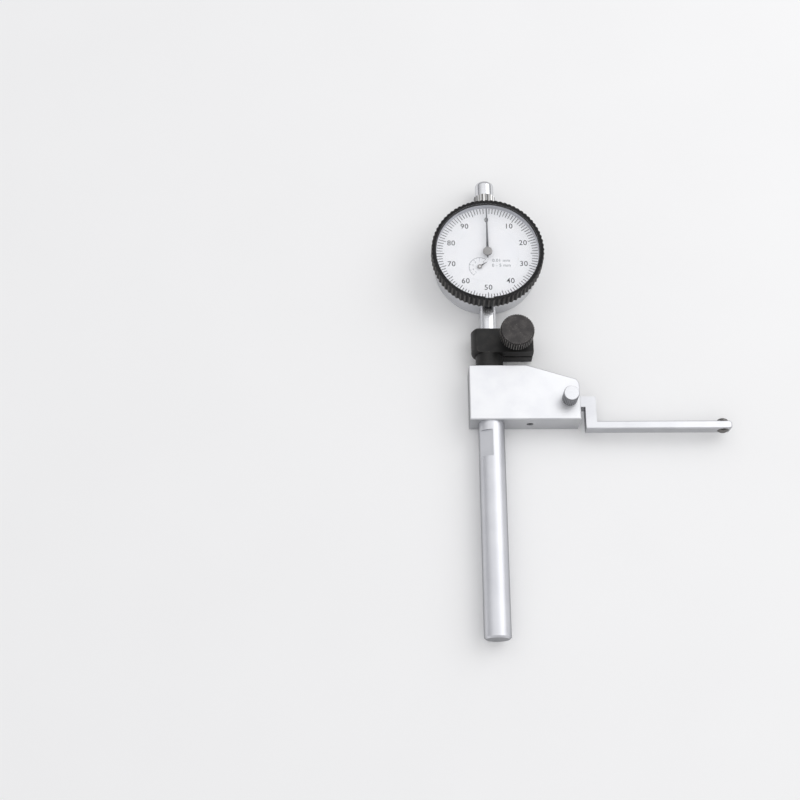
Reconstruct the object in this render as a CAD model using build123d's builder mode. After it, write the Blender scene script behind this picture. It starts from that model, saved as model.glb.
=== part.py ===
"""Centering dial indicator: a dial gauge clamped over a block, with a cranked feeler arm and a shank.

Frame: millimetres. The origin is the centre of the shank's free end, +Y runs up the shank to the dial,
+X runs along the feeler arm and +Z points out of the dial's face. The block and the dial lie on z = -7.
"""
import os
from math import atan2, cos, degrees, pi, radians, sin, sqrt, tan

from build123d import *

os.makedirs("parts", exist_ok=True)

# Clearances
running_clear = 0.03      # radial gap of a shaft that turns or slides in its hole
face_clear = 0.02         # gap between faces that turn on each other
channel_clear = 0.1       # side gap of the arm in its channel
thin_gap = 0.3            # gap round a piece that only passes by
end_play = 0.1            # gap at the end of an arbor, a screw's head or a thread
cut_margin = 1.0          # how far a cut runs past the wall it goes through

# Shank
shank_d = 12.0
shank_length = 98.8
shank_chamfer = 0.8
flat_across = 10.0
flat_length = 12.6
flat_below_block = 4.3
flat_turn = 31.0
shank_spigot_d = 8.0

# Block
block_left = 10.0
block_length = 50.6
block_height = 26.8
block_thick = 14.0
block_flat_top = 16.4
block_slope_drop = 7.1
block_corner_x = 1.3
block_corner_y = 2.2
block_edge = 0.4

# Channel of the arm
arm_thick = 6.2
channel_floor = 5.0
channel_left = 4.8

# Pivot of the arm, from the block's lower right corner
pivot_from_right = 4.85
pivot_above_bottom = 9.8
pivot_d = 4.0
pivot_boss_d = 8.4
pivot_head_d = 7.2
pivot_edge = 0.3
pivot_head_height = 7.6
pivot_ridges = 24
pivot_knurl_depth = 0.3
pivot_end_cover = 1.0

# Feeler arm
lever_above = 2.6
lever_below = 2.5
lever_past_axis = 3.4
leg_gap = 2.7
leg_width = 4.9
bar_below_block = 3.4
bar_height = 3.9
bar_end_round = 1.4
arm_edge = 0.5
arm_reach = 110.0

# Feeler tip
tip_ball_d = 7.0
tip_pin_d = 5.4
tip_from_end = 3.8
tip_lift = 0.4

# Stop screw
stop_x = 17.8
stop_d = 3.0
stop_length = 5.6
stop_slot_width = 0.5
stop_slot_depth = 0.7
stop_point_chamfer = 0.5

# Clamp
neck_d = 12.8
neck_length = 6.9
clamp_height = 12.3
clamp_thick = 11.8
clamp_round_r = 8.4
clamp_round_blend = 2.0
clamp_reach = 20.4
clamp_slit = 1.4
clamp_edge = 0.5
clamp_spigot_d = 11.0
clamp_spigot_length = 9.0

# Clamp knob
knob_x = 12.1
knob_head_d = 15.8
knob_head_height = 6.7
knob_hub_d = 9.0
knob_hub_height = 5.4
knob_screw_d = 5.0
knob_ridges = 42
knob_knurl_depth = 0.5
knob_edge = 0.7
knob_screw_cover = 0.6

# Dial gauge, outside
stem_showing = 12.8
case_r = 25.0
case_wall = 3.5
case_back = -7.0
case_front = 5.3
cover_thick = 1.2
cover_edge = 0.5
cover_screw_inset = 2.0
cover_screw_count = 4
cover_screw_d = 1.6
cover_screw_head_d = 2.8
cover_screw_head_height = 0.8
cover_screw_length = 4.0
stem_d = 8.0
stem_into_clamp = 10.8
stem_chamfer = 0.4
bush_past_wall = 0.4
bush_d = 7.0
bush_above_case = 9.0
cap_skirt_d = 10.6
cap_skirt_height = 9.6
cap_top_d = 9.0
cap_top_height = 8.2
cap_round = 2.2
cap_wall = 1.0
cap_ridges = 22
cap_knurl_depth = 0.35

# Bezel, crystal and dial
bezel_past_case = 1.85
bezel_front = 13.0
bezel_lip = 0.2
bezel_ridges = 72
bezel_knurl_depth = 0.65
bezel_edge = 0.3
bezel_groove_height = 0.8
case_neck_step = 0.3
case_neck_height = 2.5
wire_d = 0.6
wire_above_shoulder = 1.2
wire_arc = 340.0
crystal_seat = 0.5
crystal_thick = 1.0
crystal_below_front = 0.2
dial_plate_thick = 0.5
dial_face = 8.6
dial_ring_gap = 0.1
dial_centre_r = 15.0
dial_gap = 0.03
dial_key_width = 4.0
dial_key_depth = 1.1
dial_foot_d = 1.2
dial_foot_inset = 2.0

# Spindle
spindle_d = 5.0
spindle_chamfer = 0.3
spindle_above_case = 11.4
spindle_thread_d = 2.5
contact_ball_d = 3.0
contact_flange_d = 4.6
contact_flange_height = 2.4
contact_cone_share = 0.9
contact_length = 9.4
contact_thread_length = 4.0
rack_travel = 10.0
guide_pin_d = 1.5
guide_pin_above_axis = 2.4
guide_pin_reach = 10.0

# Gear train: the rack turns a pinion once in 10 mm, and the wheel on it turns the centre pinion ten times
rack_pitch = 0.625
rack_pinion_teeth = 16
rack_pinion_half = 1.6
rack_root_depth = 1.25
rack_gap_share = 0.30
rack_flank_angle = 20.0
pinion_passage = 0.6
wheel_teeth = 100
centre_pinion_teeth = 10
train_module = 0.15
counter_left = 3.8
wheel_thick = 0.5
wheel_rim = 1.2
wheel_hub_r = 1.6
wheel_spokes = 5
arbor_d = 1.6
arbor_pivot_d = 0.8
takeup_tooth_steps = 4.5

# Levels of the movement
web_back = 2.8
web_thick = 0.8
front_plate_back = 5.8
front_plate_thick = 0.8
front_plate_gap = 2.9
takeup_wheel_level = 3.95
counter_wheel_level = 4.75
hairspring_level = 4.75
bridge_thick = 0.8
bridge_back = -5.0
bridge_width = 5.0
bridge_pillar_from_wall = 8.5
pillar_d = 2.6
plate_pillar_inset = 1.6
plate_pillar_angles = (130, 200, 320)
small_screw_d = 1.2
small_head_d = 2.2
small_head_height = 0.6
small_screw_length = 2.0
screw_slot_width_share = 0.2
screw_slot_depth_share = 0.45

# Guide block and return spring
guide_block_width = 1.6
guide_block_x = 4.4
guide_block_margin = 2.6
guide_block_below = 2.4
guide_slot_end = 0.5
spring_r = 1.2
spring_wire_d = 0.3
spring_pitch = 0.62
spring_bend_d = 0.38
spring_from_tip = 1.4
spring_post_from_wall = 3.16
spring_post_d = 1.4
spring_post_below = 1.6
spring_post_lip = 0.4
spring_hook_clear = 0.12
spring_bend_overlap = 0.1

# Hairspring
hair_wire = 0.12
hair_height = 0.5
hair_turns = 5
hair_steps_per_turn = 24
hair_inner_r = 1.5
hair_outer_r = 6.0
hair_stud_d = 0.9

# Hands
hand_thick = 0.25
arbor_in_hand = 0.6
main_hand_level = 10.6
main_hand_gap = 0.7
main_hand_tail = 3.2
main_hand_width = 1.2
main_hand_tip_width = 0.5
hand_cap_d = 4.5
hand_cap_height = 1.0
counter_hand_level = 9.3
counter_hand_reach = 4.5
counter_hand_tail = 1.6
counter_hand_width = 0.9
counter_hand_boss_d = 2.2
counter_hand_turn = 35.0

# Places that follow from the sizes
block_bottom = shank_length
block_top = block_bottom + block_height
block_right = block_length - block_left
half_block = block_thick / 2
pivot_x = block_right - pivot_from_right
pivot_y = block_bottom + pivot_above_bottom
lever_top = pivot_y + lever_above
lever_bottom = pivot_y - lever_below
channel_bottom = block_bottom + channel_floor
channel_half = arm_thick / 2 + channel_clear
bar_bottom = block_bottom - bar_below_block
bar_middle = bar_bottom + bar_height / 2
leg_left = block_right + leg_gap
leg_right = leg_left + leg_width
tip_x = arm_reach - tip_from_end
clamp_bottom = block_top + neck_length
clamp_top = clamp_bottom + clamp_height
clamp_middle = clamp_bottom + clamp_height / 2
half_clamp = clamp_thick / 2
dial_y = clamp_top + stem_showing + case_r
inner_r = case_r - case_wall
cover_screw_r = case_r - cover_screw_inset
case_neck_r = case_r - case_neck_step
bezel_r = case_r + bezel_past_case
bezel_open_r = case_neck_r - bezel_lip
crystal_r = bezel_open_r + crystal_seat
bezel_bore_r = case_neck_r + 2 * running_clear
dial_ring_r = bezel_bore_r - dial_ring_gap
front_plate_r = inner_r - front_plate_gap
plate_pillar_r = front_plate_r - plate_pillar_inset
main_hand_reach = bezel_open_r - main_hand_gap
cover_front = case_back + cover_thick
stem_bottom = clamp_top - stem_into_clamp
stem_top = dial_y - inner_r + bush_past_wall
bush_bottom = dial_y + inner_r - bush_past_wall
bush_top = dial_y + case_r + bush_above_case
web_front = web_back + web_thick
front_plate_front = front_plate_back + front_plate_thick
bridge_front = bridge_back + bridge_thick
bridge_pillar_x = inner_r - bridge_pillar_from_wall
train_distance = train_module * (wheel_teeth + centre_pinion_teeth) / 2
counter_below = sqrt(train_distance ** 2 - counter_left ** 2)
counter_y = dial_y - counter_below
counter_angle = degrees(atan2(counter_below, counter_left))
takeup_angle = counter_angle + 180 + takeup_tooth_steps * 360 / centre_pinion_teeth
takeup_x = train_distance * cos(radians(takeup_angle))
takeup_y = dial_y + train_distance * sin(radians(takeup_angle))
rack_module = rack_pitch / pi
rack_line = rack_module * rack_pinion_teeth / 2 - counter_left
spindle_bottom = lever_top + face_clear + contact_length
spindle_top = dial_y + case_r + spindle_above_case
guide_pin_y = dial_y + guide_pin_above_axis
spring_x = guide_pin_reach - spring_from_tip
spring_post_y = dial_y - sqrt((inner_r - spring_post_from_wall) ** 2 - spring_x ** 2)

# Planes and axes that several pieces share
dial_axis = Axis((0, dial_y, 0), (0, 0, 1))
dial_section = Plane(origin=(0, dial_y, 0), x_dir=(1, 0, 0), z_dir=(0, -1, 0))


def level(x, y, z):
    """A plane that faces +Z, with its origin at the point."""
    return Plane(origin=(x, y, z), x_dir=(1, 0, 0), z_dir=(0, 0, 1))


def polar_point(r, angle):
    """The point at a radius and an angle in degrees."""
    return (r * cos(radians(angle)), r * sin(radians(angle)))


def knurl_points(r, ridges, depth):
    """Outline of a straight knurl: sharp ridges with a valley between each two."""
    step = 180 / ridges
    return [polar_point(r if i % 2 == 0 else r - depth, i * step) for i in range(2 * ridges)]


def rim_points(r, z, side, edge):
    """Triangle that, turned about the axis, bevels a rim of radius r at z; the solid lies on its side."""
    return [(r - edge, z), (r + edge, z), (r + edge, z + side * 2 * edge)]


def tooth_points(teeth, module, turn, addendum=1.0, dedendum=1.25, flank=0.44, tip=0.14, widen=0.04):
    """Outline of a toothed wheel with a tooth at the angle turn.

    The addendum and dedendum count in modules, and flank, tip and widen are shares of the pitch.
    """
    pitch_r = teeth * module / 2
    step = 360 / teeth
    corners = [
        (pitch_r - dedendum * module, -flank / 2 - widen),
        (pitch_r, -flank / 2),
        (pitch_r + addendum * module, -tip / 2),
        (pitch_r + addendum * module, tip / 2),
        (pitch_r, flank / 2),
        (pitch_r - dedendum * module, flank / 2 + widen),
    ]
    return [polar_point(r, turn + (i + share) * step) for i in range(teeth) for r, share in corners]


def screw(x, y, head_face, direction, head_d, head_height, shank, length):
    """A small slotted screw along Z: its head stands out of head_face, its shank goes the other way."""
    with BuildPart() as made:
        with BuildSketch(level(x, y, head_face)):
            Circle(head_d / 2)
        extrude(amount=direction * head_height)
        with BuildSketch(level(x, y, head_face)):
            Circle(shank / 2)
        extrude(amount=-direction * length)
        with BuildSketch(level(x, y, head_face + direction * head_height)):
            Rectangle(2 * head_d, head_d * screw_slot_width_share)
        extrude(amount=-direction * head_height * screw_slot_depth_share, mode=Mode.SUBTRACT)
    return made.part


# Shank: a turned rod with a spigot into the block and a pair of wrench flats
shank_spigot_length = channel_floor - channel_clear
with BuildPart() as shank:
    with BuildSketch(Plane.XY):
        with BuildLine():
            Polyline(
                (0, 0),
                (shank_d / 2 - shank_chamfer, 0),
                (shank_d / 2, shank_chamfer),
                (shank_d / 2, block_bottom),
                (shank_spigot_d / 2, block_bottom),
                (shank_spigot_d / 2, block_bottom + shank_spigot_length),
                (0, block_bottom + shank_spigot_length),
                close=True,
            )
        make_face()
    revolve(axis=Axis.Y)
    flat_middle = block_bottom - flat_below_block - flat_length / 2
    flat_plane = Plane(
        origin=(0, flat_middle, 0),
        x_dir=(cos(radians(flat_turn)), 0, sin(radians(flat_turn))),
        z_dir=(-sin(radians(flat_turn)), 0, cos(radians(flat_turn))),
    )
    for side in (1, -1):
        with BuildSketch(flat_plane.offset(side * flat_across / 2)):
            Rectangle(shank_d, flat_length)
        extrude(amount=side * shank_d / 2, mode=Mode.SUBTRACT)
shank.part.label = "shank"
export_step(shank.part, "parts/shank.step")

# Block: a flat plate with a sloped shoulder and a channel for the arm, milled from the top
slope_end_x = block_right - block_corner_x
slope_end_y = block_top - block_slope_drop
with BuildPart() as housing_block:
    with BuildSketch(Plane.XY.offset(-half_block)):
        with BuildLine():
            Polyline(
                (-block_left, block_bottom),
                (block_right, block_bottom),
                (block_right, slope_end_y - block_corner_y),
                (slope_end_x, slope_end_y),
                (block_flat_top, block_top),
                (-block_left, block_top),
                close=True,
            )
        make_face()
    extrude(amount=block_thick)
    chamfer(housing_block.faces().filter_by(Axis.Z).edges(), block_edge)
    with BuildSketch(Plane.XY.offset(-channel_half)):
        with Locations((-channel_left, channel_bottom)):
            Rectangle(block_length, block_height, align=(Align.MIN, Align.MIN))
    extrude(amount=2 * channel_half, mode=Mode.SUBTRACT)
    with BuildSketch(Plane.XZ.offset(-block_top)):
        Circle(clamp_spigot_d / 2)
    extrude(amount=clamp_spigot_length, mode=Mode.SUBTRACT)
    with BuildSketch(Plane.XZ.offset(-block_bottom)):
        Circle(shank_spigot_d / 2)
    extrude(amount=-channel_floor, mode=Mode.SUBTRACT)
    with BuildSketch(Plane.XZ.offset(-block_bottom)):
        with Locations((stop_x, 0)):
            Circle(stop_d / 2 + running_clear)
    extrude(amount=-channel_floor, mode=Mode.SUBTRACT)
    with BuildSketch(level(pivot_x, pivot_y, half_block)):
        Circle(pivot_d / 2 + running_clear)
    extrude(amount=-(block_thick - pivot_end_cover + thin_gap), mode=Mode.SUBTRACT)
housing_block.part.label = "housing_block"
export_step(housing_block.part, "parts/housing_block.step")

# Stop screw: a grub screw in the block's underside, on which the inner lever rests
with BuildPart() as stop_screw:
    with BuildSketch(Plane.XZ.offset(-lever_bottom + face_clear)):
        with Locations((stop_x, 0)):
            Circle(stop_d / 2)
    extrude(amount=stop_length)
    chamfer(stop_screw.edges().group_by(Axis.Y)[-1], stop_point_chamfer)
    with BuildSketch(Plane.XZ.offset(-lever_bottom + face_clear + stop_length)):
        with Locations((stop_x, 0)):
            Rectangle(stop_slot_width, 2 * stop_d)
    extrude(amount=-stop_slot_depth, mode=Mode.SUBTRACT)
stop_screw.part.label = "stop_screw"
export_step(stop_screw.part, "parts/stop_screw.step")

# Pivot screw: knurled head, plain journal through the block and the arm
pivot_seat = half_block + face_clear
with BuildPart() as pivot_screw:
    with BuildSketch(level(pivot_x, pivot_y, pivot_seat)):
        with BuildLine():
            Polyline(*knurl_points(pivot_head_d / 2, pivot_ridges, pivot_knurl_depth), close=True)
        make_face()
    extrude(amount=pivot_head_height)
    with BuildSketch(Plane(origin=(pivot_x, pivot_y, pivot_seat), x_dir=(1, 0, 0), z_dir=(0, -1, 0))):
        with BuildLine():
            Polyline(*rim_points(pivot_head_d / 2, pivot_head_height, -1, pivot_edge), close=True)
        make_face()
    revolve(axis=Axis((pivot_x, pivot_y, 0), (0, 0, 1)), mode=Mode.SUBTRACT)
    with BuildSketch(level(pivot_x, pivot_y, pivot_seat)):
        Circle(pivot_d / 2)
    extrude(amount=-(block_thick - pivot_end_cover))
pivot_screw.part.label = "pivot_screw"
export_step(pivot_screw.part, "parts/pivot_screw.step")

# Feeler arm: inner lever in the channel, leg down past the block's end, outer bar with the tip
with BuildPart() as feeler_arm:
    with BuildSketch(Plane.XY.offset(-arm_thick / 2)):
        with BuildLine():
            Polyline(
                (-lever_past_axis, lever_bottom),
                (leg_left, lever_bottom),
                (leg_left, bar_bottom),
                (arm_reach, bar_bottom),
                (arm_reach, bar_bottom + bar_height),
                (leg_right, bar_bottom + bar_height),
                (leg_right, lever_top),
                (-lever_past_axis, lever_top),
                close=True,
            )
        make_face()
        with Locations((pivot_x, pivot_y)):
            Circle(pivot_boss_d / 2)
            Circle(pivot_d / 2 + running_clear, mode=Mode.SUBTRACT)
    extrude(amount=arm_thick)
    fillet(feeler_arm.edges().filter_by(Axis.Z).group_by(Axis.X)[-1], bar_end_round)
    chamfer(feeler_arm.faces().sort_by(Axis.X)[-1].edges().filter_by(Axis.Y), arm_edge)
    with BuildSketch(Plane.XZ.offset(-bar_bottom)):
        with Locations((tip_x, 0)):
            Circle(tip_pin_d / 2)
    extrude(amount=-bar_height, mode=Mode.SUBTRACT)
feeler_arm.part.label = "feeler_arm"
export_step(feeler_arm.part, "parts/feeler_arm.step")

# Feeler tip: a pin through the bar's end with both ends ground to one ball
with BuildPart() as feeler_tip:
    with Locations((tip_x, bar_middle + tip_lift, 0)):
        Sphere(tip_ball_d / 2)
        Cylinder(tip_pin_d / 2, tip_ball_d, rotation=(90, 0, 0), mode=Mode.INTERSECT)
feeler_tip.part.label = "feeler_tip"
export_step(feeler_tip.part, "parts/feeler_tip.step")

# Clamp: a round neck that seats on the block, under a split block that grips the dial's stem
with BuildPart() as clamp_body:
    with BuildSketch(Plane.XZ.offset(-(block_top - clamp_spigot_length))):
        Circle(clamp_spigot_d / 2)
    extrude(amount=-clamp_spigot_length)
    with BuildSketch(Plane.XZ.offset(-block_top)):
        Circle(neck_d / 2)
    extrude(amount=-neck_length)
    with BuildSketch(Plane.XZ.offset(-clamp_bottom)):
        Circle(clamp_round_r)
        with Locations((clamp_reach / 2, 0)):
            Rectangle(clamp_reach, clamp_thick)
        Rectangle(2 * clamp_reach, clamp_thick, mode=Mode.INTERSECT)
    extrude(amount=-clamp_height)
    blend_from_r = clamp_round_r - clamp_round_blend
    with BuildSketch(Plane(origin=(0, clamp_bottom, 0), x_dir=(0, 0, -1), z_dir=(1, 0, 0))):
        with BuildLine():
            CenterArc((blend_from_r, clamp_round_blend), clamp_round_blend, -90, 90)
            Polyline(
                (clamp_round_r, clamp_round_blend),
                (clamp_round_r + cut_margin, clamp_round_blend),
                (clamp_round_r + cut_margin, 0),
                (blend_from_r, 0),
            )
        make_face()
    revolve(axis=Axis.Y, revolution_arc=180, mode=Mode.SUBTRACT)
    outer_edges = clamp_body.edges().filter_by(Plane.XZ).group_by(Axis.Y)
    chamfer(outer_edges[-1], clamp_edge)
    with BuildSketch(Plane.XZ.offset(-(block_top - clamp_spigot_length))):
        Circle(stem_d / 2 + running_clear)
    extrude(amount=-(clamp_spigot_length + neck_length + clamp_height), mode=Mode.SUBTRACT)
    with BuildSketch(Plane.XZ.offset(-clamp_bottom)):
        with Locations((clamp_reach, 0)):
            Rectangle(2 * clamp_reach, clamp_slit)
    extrude(amount=-clamp_height, mode=Mode.SUBTRACT)
    with BuildSketch(level(knob_x, clamp_middle, half_clamp)):
        Circle(knob_screw_d / 2 + running_clear)
    extrude(amount=-clamp_thick, mode=Mode.SUBTRACT)
clamp_body.part.label = "clamp_body"
export_step(clamp_body.part, "parts/clamp_body.step")

# Clamp knob: knurled head, plain hub and screw, turned in one piece
knob_seat = half_clamp + face_clear
with BuildPart() as clamp_knob:
    with BuildSketch(level(knob_x, clamp_middle, knob_seat)):
        Circle(knob_hub_d / 2)
    extrude(amount=knob_hub_height)
    with BuildSketch(level(knob_x, clamp_middle, knob_seat + knob_hub_height)):
        with BuildLine():
            Polyline(*knurl_points(knob_head_d / 2, knob_ridges, knob_knurl_depth), close=True)
        make_face()
    extrude(amount=knob_head_height)
    knob_head_foot = (knob_x, clamp_middle, knob_seat + knob_hub_height)
    with BuildSketch(Plane(origin=knob_head_foot, x_dir=(1, 0, 0), z_dir=(0, -1, 0))):
        for turned_z, side in ((0, 1), (knob_head_height, -1)):
            with BuildLine():
                Polyline(*rim_points(knob_head_d / 2, turned_z, side, knob_edge), close=True)
            make_face()
    revolve(axis=Axis((knob_x, clamp_middle, 0), (0, 0, 1)), mode=Mode.SUBTRACT)
    with BuildSketch(level(knob_x, clamp_middle, knob_seat)):
        Circle(knob_screw_d / 2)
    extrude(amount=-(clamp_thick - knob_screw_cover))
clamp_knob.part.label = "clamp_knob"
export_step(clamp_knob.part, "parts/clamp_knob.step")

# Dial case: a cup open to both sides of a thin web that carries the movement
with BuildPart() as dial_case:
    with BuildSketch(dial_section):
        with BuildLine():
            Polyline(
                (0, web_back),
                (inner_r, web_back),
                (inner_r, cover_front),
                (case_r, cover_front),
                (case_r, case_front),
                (case_neck_r, case_front),
                (case_neck_r, case_front + wire_above_shoulder - wire_d / 2),
                (case_neck_r - wire_d / 2, case_front + wire_above_shoulder - wire_d / 2),
                (case_neck_r - wire_d / 2, case_front + wire_above_shoulder + wire_d / 2),
                (case_neck_r, case_front + wire_above_shoulder + wire_d / 2),
                (case_neck_r, case_front + case_neck_height),
                (inner_r, case_front + case_neck_height),
                (inner_r, web_front),
                (0, web_front),
                close=True,
            )
        make_face()
    revolve(axis=dial_axis)
    with BuildSketch(Plane.XZ.offset(-(dial_y - case_r))):
        Circle(stem_d / 2)
    extrude(amount=-case_wall - cut_margin, mode=Mode.SUBTRACT)
    with BuildSketch(Plane.XZ.offset(-(dial_y + case_r))):
        Circle(bush_d / 2)
    extrude(amount=case_wall + cut_margin, mode=Mode.SUBTRACT)
    with BuildSketch(level(0, dial_y, web_back)):
        Circle(arbor_pivot_d / 2 + running_clear)
        with Locations((takeup_x, takeup_y - dial_y)):
            Circle(arbor_pivot_d / 2 + running_clear)
        with Locations((-counter_left, counter_y - dial_y)):
            Circle(rack_module * rack_pinion_teeth / 2 + pinion_passage)
    extrude(amount=web_thick, mode=Mode.SUBTRACT)
    with BuildSketch(level(0, dial_y, cover_front)):
        with PolarLocations(cover_screw_r, cover_screw_count, start_angle=45):
            Circle(cover_screw_d / 2)
    extrude(amount=cover_screw_length, mode=Mode.SUBTRACT)
dial_case.part.label = "dial_case"
export_step(dial_case.part, "parts/dial_case.step")

# Back cover: a flat disc, held by sunk screws
with BuildPart() as back_cover:
    with BuildSketch(level(0, dial_y, case_back)):
        Circle(case_r)
    extrude(amount=cover_thick)
    chamfer(back_cover.edges().group_by(Axis.Z)[0], cover_edge)
    with Locations(Plane(origin=(0, dial_y, case_back), x_dir=(1, 0, 0), z_dir=(0, 0, -1))):
        with PolarLocations(cover_screw_r, cover_screw_count, start_angle=45):
            CounterBoreHole(cover_screw_d / 2, cover_screw_head_d / 2, cover_screw_head_height, cover_thick)
back_cover.part.label = "back_cover"
export_step(back_cover.part, "parts/back_cover.step")

cover_screw_points = [
    polar_point(cover_screw_r, 45 + i * 360 / cover_screw_count) for i in range(cover_screw_count)
]
cover_screws = Compound(
    children=[
        screw(
            x,
            dial_y + y,
            case_back + cover_screw_head_height,
            -1,
            cover_screw_head_d - end_play,
            cover_screw_head_height - end_play,
            cover_screw_d,
            cover_screw_length - end_play,
        )
        for x, y in cover_screw_points
    ]
)
cover_screws.label = "cover_screws"
export_step(cover_screws, "parts/cover_screws.step")

# Stem: the lower bush of the spindle, pressed into the case and gripped by the clamp
with BuildPart() as stem:
    with BuildSketch(Plane.XZ.offset(-stem_bottom)):
        Circle(stem_d / 2)
    extrude(amount=-(stem_top - stem_bottom))
    chamfer(stem.edges().group_by(Axis.Y)[0], stem_chamfer)
    with BuildSketch(Plane.XZ.offset(-stem_bottom)):
        Circle(spindle_d / 2 + running_clear)
    extrude(amount=-(stem_top - stem_bottom), mode=Mode.SUBTRACT)
stem.part.label = "stem"
export_step(stem.part, "parts/stem.step")

# Upper bush of the spindle, which carries the dust cap
with BuildPart() as upper_bush:
    with BuildSketch(Plane.XZ.offset(-bush_bottom)):
        Circle(bush_d / 2)
        Circle(spindle_d / 2 + running_clear, mode=Mode.SUBTRACT)
    extrude(amount=-(bush_top - bush_bottom))
upper_bush.part.label = "upper_bush"
export_step(upper_bush.part, "parts/upper_bush.step")

# Dust cap: knurled skirt and smooth domed top over the spindle's upper end
cap_bottom = dial_y + case_r + thin_gap
cap_shoulder = cap_bottom + cap_skirt_height
cap_crown = cap_shoulder + cap_top_height
with BuildPart() as dust_cap:
    with BuildSketch(Plane.XZ.offset(-cap_bottom)):
        with BuildLine():
            Polyline(*knurl_points(cap_skirt_d / 2, cap_ridges, cap_knurl_depth), close=True)
        make_face()
    extrude(amount=-cap_skirt_height)
    with BuildSketch(Plane.XZ.offset(-cap_shoulder)):
        Circle(cap_top_d / 2)
    extrude(amount=-cap_top_height)
    fillet(dust_cap.edges().group_by(Axis.Y)[-1], cap_round)
    with BuildSketch(Plane.XZ.offset(-cap_bottom)):
        Circle(bush_d / 2)
    extrude(amount=-(bush_top - cap_bottom), mode=Mode.SUBTRACT)
    with BuildSketch(Plane.XZ.offset(-bush_top)):
        Circle(spindle_d / 2 + thin_gap)
    extrude(amount=-(cap_crown - cap_wall - bush_top), mode=Mode.SUBTRACT)
dust_cap.part.label = "dust_cap"
export_step(dust_cap.part, "parts/dust_cap.step")

# Spindle: a rod with a rack on its left side
rack_tooth_count = round(rack_travel / rack_pitch) + 3
with BuildPart() as spindle:
    with BuildSketch(Plane.XZ.offset(-spindle_bottom)):
        Circle(spindle_d / 2)
    extrude(amount=-(spindle_top - spindle_bottom))
    chamfer(spindle.edges().group_by(Axis.Y)[-1], spindle_chamfer)
    with BuildSketch(Plane.XZ.offset(-spindle_bottom)):
        Circle(spindle_thread_d / 2)
    extrude(amount=-contact_thread_length, mode=Mode.SUBTRACT)
    tooth_tip_x = rack_line - rack_module
    tooth_root_x = rack_line + rack_root_depth * rack_module
    gap_tip = rack_gap_share * rack_pitch + rack_module * tan(radians(rack_flank_angle))
    gap_root = rack_gap_share * rack_pitch - rack_root_depth * rack_module * tan(radians(rack_flank_angle))
    gap_centres = [counter_y + (1 - i) * rack_pitch for i in range(rack_tooth_count)]
    comb = [(-spindle_d, gap_centres[0] + gap_tip)]
    for gap_y in gap_centres:
        comb.append((tooth_tip_x, gap_y + gap_tip))
        comb.append((tooth_root_x, gap_y + gap_root))
        comb.append((tooth_root_x, gap_y - gap_root))
        comb.append((tooth_tip_x, gap_y - gap_tip))
    comb.append((-spindle_d, gap_centres[-1] - gap_tip))
    with BuildSketch(Plane.XY.offset(-spindle_d / 2)):
        with BuildLine():
            Polyline(*comb, close=True)
        make_face()
    extrude(amount=spindle_d, mode=Mode.SUBTRACT)
    with BuildSketch(Plane.YZ):
        with Locations((guide_pin_y, 0)):
            Circle(guide_pin_d / 2)
    extrude(amount=spindle_d / 2, mode=Mode.SUBTRACT)
spindle.part.label = "spindle"
export_step(spindle.part, "parts/spindle.step")

# Contact point: screwed into the spindle, with a ball end that rides on the inner lever
with BuildPart() as contact_point:
    ball_y = lever_top + face_clear + contact_ball_d / 2
    with BuildSketch(Plane.XY):
        with BuildLine():
            Polyline(
                (0, ball_y),
                (contact_ball_d / 2 * contact_cone_share, ball_y),
                (contact_flange_d / 2, spindle_bottom - contact_flange_height),
                (contact_flange_d / 2, spindle_bottom),
                (spindle_thread_d / 2, spindle_bottom),
                (spindle_thread_d / 2, spindle_bottom + contact_thread_length - thin_gap),
                (0, spindle_bottom + contact_thread_length - thin_gap),
                close=True,
            )
        make_face()
    revolve(axis=Axis.Y)
    with Locations((0, ball_y, 0)):
        Sphere(contact_ball_d / 2)
contact_point.part.label = "contact_point"
export_step(contact_point.part, "parts/contact_point.step")

# Guide pin: stands out of the spindle through the guide block and carries the return spring
with BuildPart() as guide_pin:
    with BuildSketch(Plane.YZ):
        with Locations((guide_pin_y, 0)):
            Circle(guide_pin_d / 2)
    extrude(amount=guide_pin_reach)
guide_pin.part.label = "guide_pin"
export_step(guide_pin.part, "parts/guide_pin.step")

# Guide block: its slot lets the pin slide and keeps the spindle from turning
slot_low = guide_pin_y - guide_pin_d / 2 - guide_slot_end
slot_high = guide_pin_y + guide_pin_d / 2 + rack_travel
slot_height = guide_pin_d + 2 * running_clear
with BuildPart() as guide_block:
    with BuildSketch(Plane.YZ.offset(guide_block_x)):
        with Locations(((slot_low + slot_high) / 2, (web_back - guide_block_below) / 2)):
            Rectangle(slot_high - slot_low + 2 * guide_block_margin, web_back + guide_block_below)
        with Locations(((slot_low + slot_high) / 2, 0)):
            Rectangle(slot_high - slot_low, slot_height, mode=Mode.SUBTRACT)
    extrude(amount=guide_block_width)
guide_block.part.label = "guide_block"
export_step(guide_block.part, "parts/guide_block.step")

# Post of the return spring, riveted into the web's back
with BuildPart() as spring_post:
    with BuildSketch(level(spring_x, spring_post_y, web_back)):
        Circle(spring_post_d / 2)
    extrude(amount=-(web_back + spring_post_below))
    with BuildSketch(level(spring_x, spring_post_y, -spring_post_below)):
        Circle(spring_post_d / 2 + spring_post_lip)
    extrude(amount=-spring_post_lip)
spring_post.part.label = "spring_post"
export_step(spring_post.part, "parts/spring_post.step")

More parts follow.
